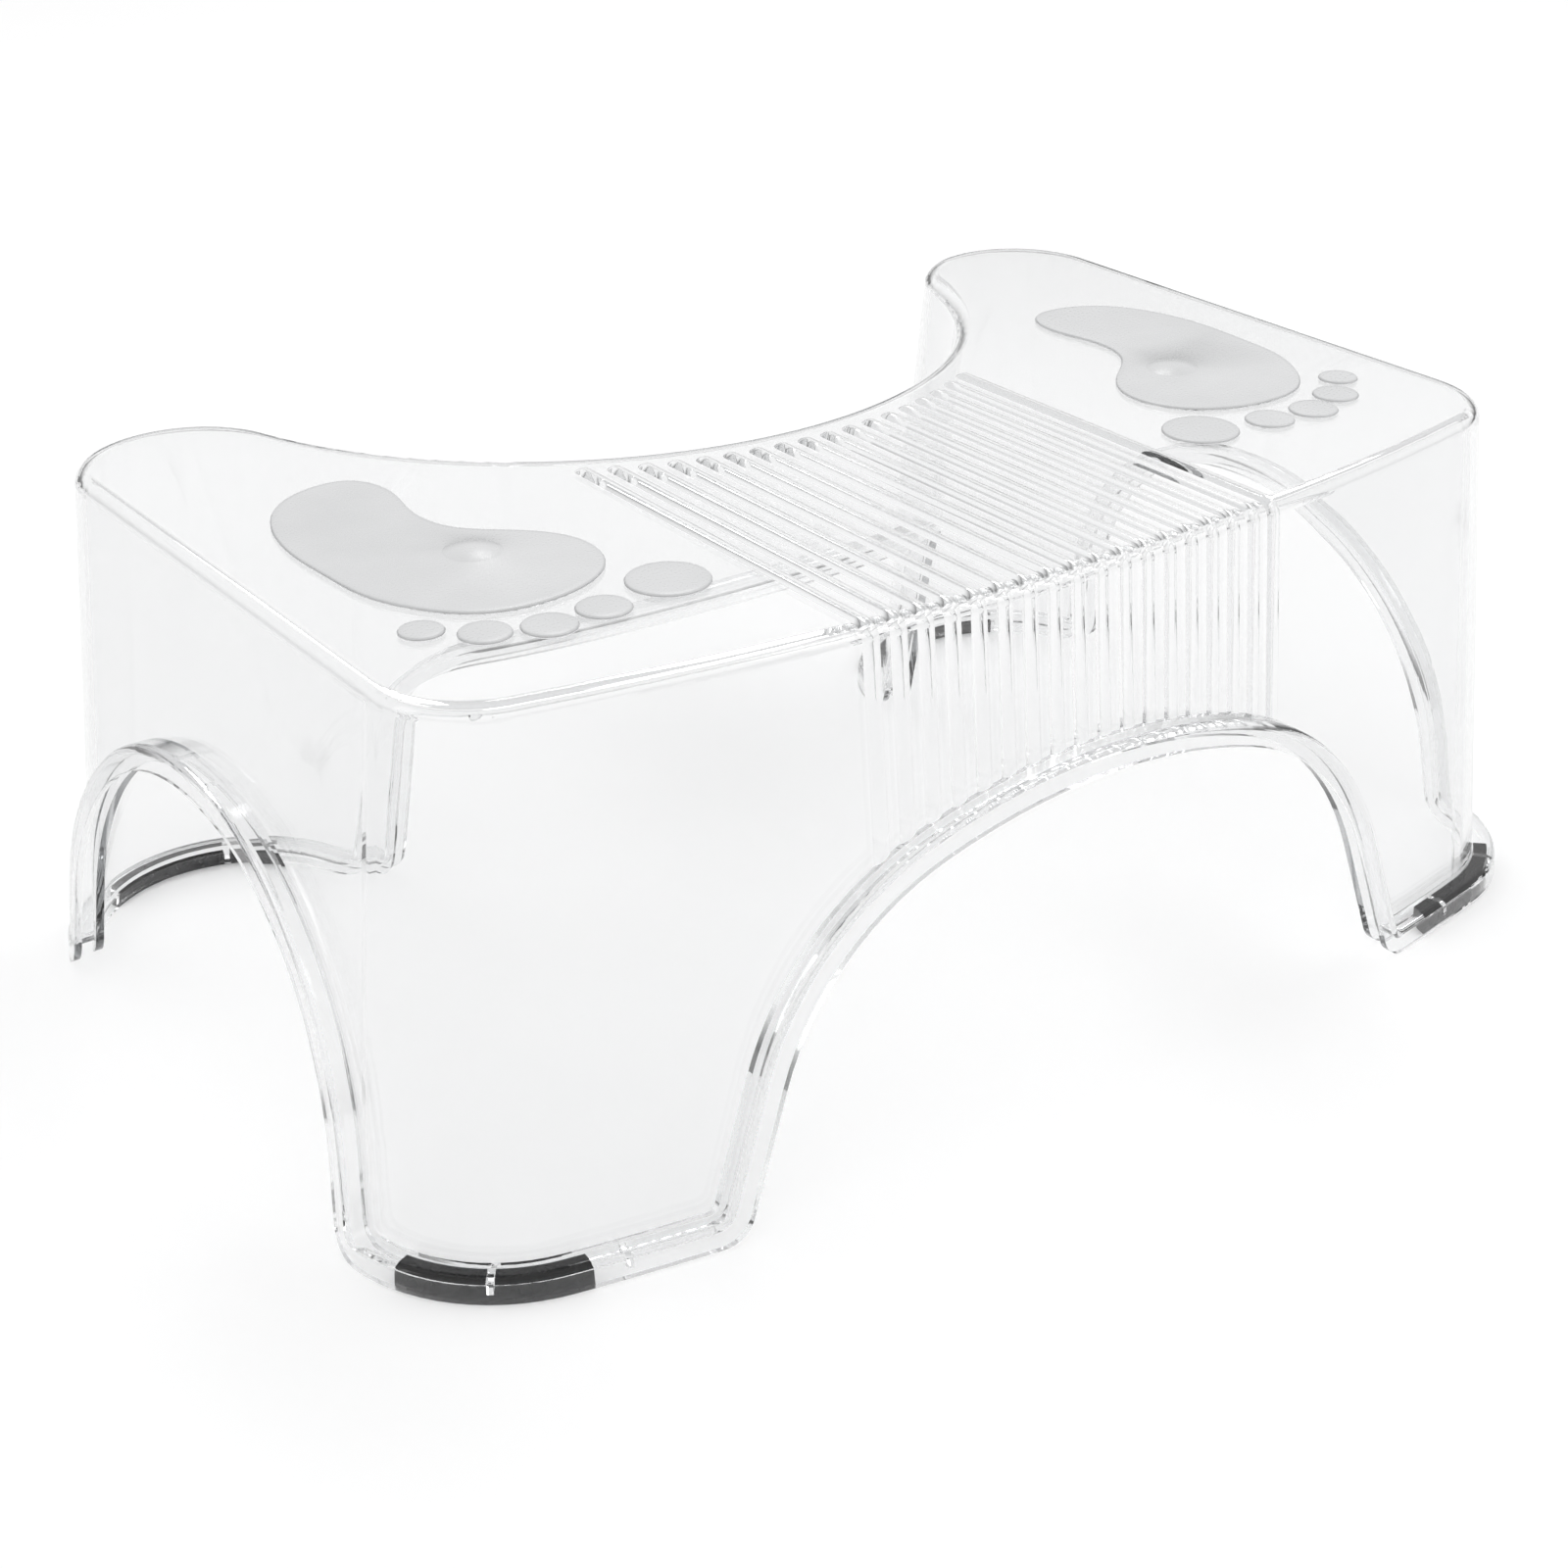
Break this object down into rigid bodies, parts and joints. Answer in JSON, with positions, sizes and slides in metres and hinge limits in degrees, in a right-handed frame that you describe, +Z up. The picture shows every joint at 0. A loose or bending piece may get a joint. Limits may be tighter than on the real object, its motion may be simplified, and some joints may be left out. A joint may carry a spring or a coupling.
{
  "type": "toilet footstool",
  "caption": "Clear one-piece footstool that stands round the front of a toilet: bowed front, scooped back, arched walls with a stepped rim, raised ribs and foot-shaped pads.",
  "frame": {"origin": "on the floor, at the middle of the overall box", "axes": "+X is the sitter's left, +Y points back to the toilet (the scooped side), +Z is up"},
  "size_m": [0.451, 0.3024, 0.1728],
  "materials": {
    "clear_shell": "clear, polished",
    "grey_pad": "soft grey, frosted",
    "black_rubber": "matt, near black"
  },
  "bodies": {
    "root": {"stool_shell": "clear_shell", "left_sole_pad": "grey_pad", "left_big_toe_pad": "grey_pad", "left_second_toe_pad": "grey_pad", "left_third_toe_pad": "grey_pad", "left_fourth_toe_pad": "grey_pad", "left_little_toe_pad": "grey_pad", "right_sole_pad": "grey_pad", "right_big_toe_pad": "grey_pad", "right_second_toe_pad": "grey_pad", "right_third_toe_pad": "grey_pad", "right_fourth_toe_pad": "grey_pad", "right_little_toe_pad": "grey_pad", "front_left_foot_strip": "black_rubber", "front_right_foot_strip": "black_rubber", "rear_left_foot_strip": "black_rubber", "rear_right_foot_strip": "black_rubber"}
  },
  "joints": []
}
